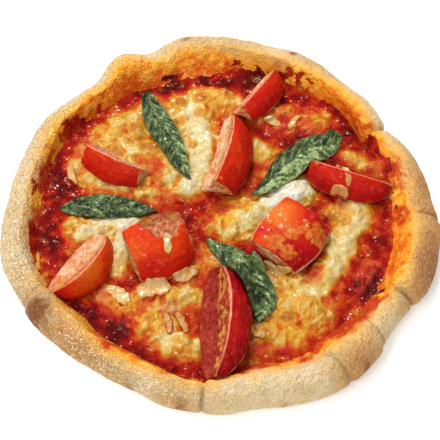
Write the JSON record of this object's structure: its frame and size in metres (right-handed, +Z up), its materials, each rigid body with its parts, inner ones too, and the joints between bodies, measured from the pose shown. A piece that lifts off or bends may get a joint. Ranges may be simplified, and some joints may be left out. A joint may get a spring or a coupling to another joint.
{
  "type": "baked cheese pizza with tomato wedges and basil leaves",
  "caption": "Round baked pizza with a puffed, hand-folded rim, red sauce, melted cheese with browned spots and loose shreds, tomato wedges and basil leaves.",
  "frame": {"origin": "on the underside, below the middle of the well", "axes": "+Z up out of the pizza's face; -Y towards the viewer of the picture, +X to the viewer's right"},
  "size_m": [0.231, 0.2296, 0.0292],
  "materials": {
    "bread": "dry, floury, toasted golden to brown in patches",
    "sauce": "wet and lumpy, dark red to orange where oil has soaked in",
    "cheese": "oily, ivory to yellow with ochre and brown blisters",
    "tomato": "taut glossy skin, moist pink flesh",
    "basil": "crinkled, dark green, with a soft oily sheen"
  },
  "bodies": {
    "root": {"crust": "bread", "tomato_sauce": "sauce", "tomato_upper_left": "tomato", "tomato_centre": "tomato", "tomato_top": "tomato", "tomato_right": "tomato", "tomato_middle": "tomato", "tomato_left": "tomato", "tomato_lower_left": "tomato", "tomato_bottom": "tomato", "cheese_upper_left": "cheese", "cheese_left": "cheese", "cheese_centre": "cheese", "cheese_right": "cheese", "cheese_lower_left": "cheese", "cheese_upper_right": "cheese", "cheese_right_edge": "cheese", "cheese_lower_right": "cheese", "basil_top": "basil", "basil_left": "basil", "basil_right": "basil", "basil_lower_right": "basil"}
  },
  "joints": []
}
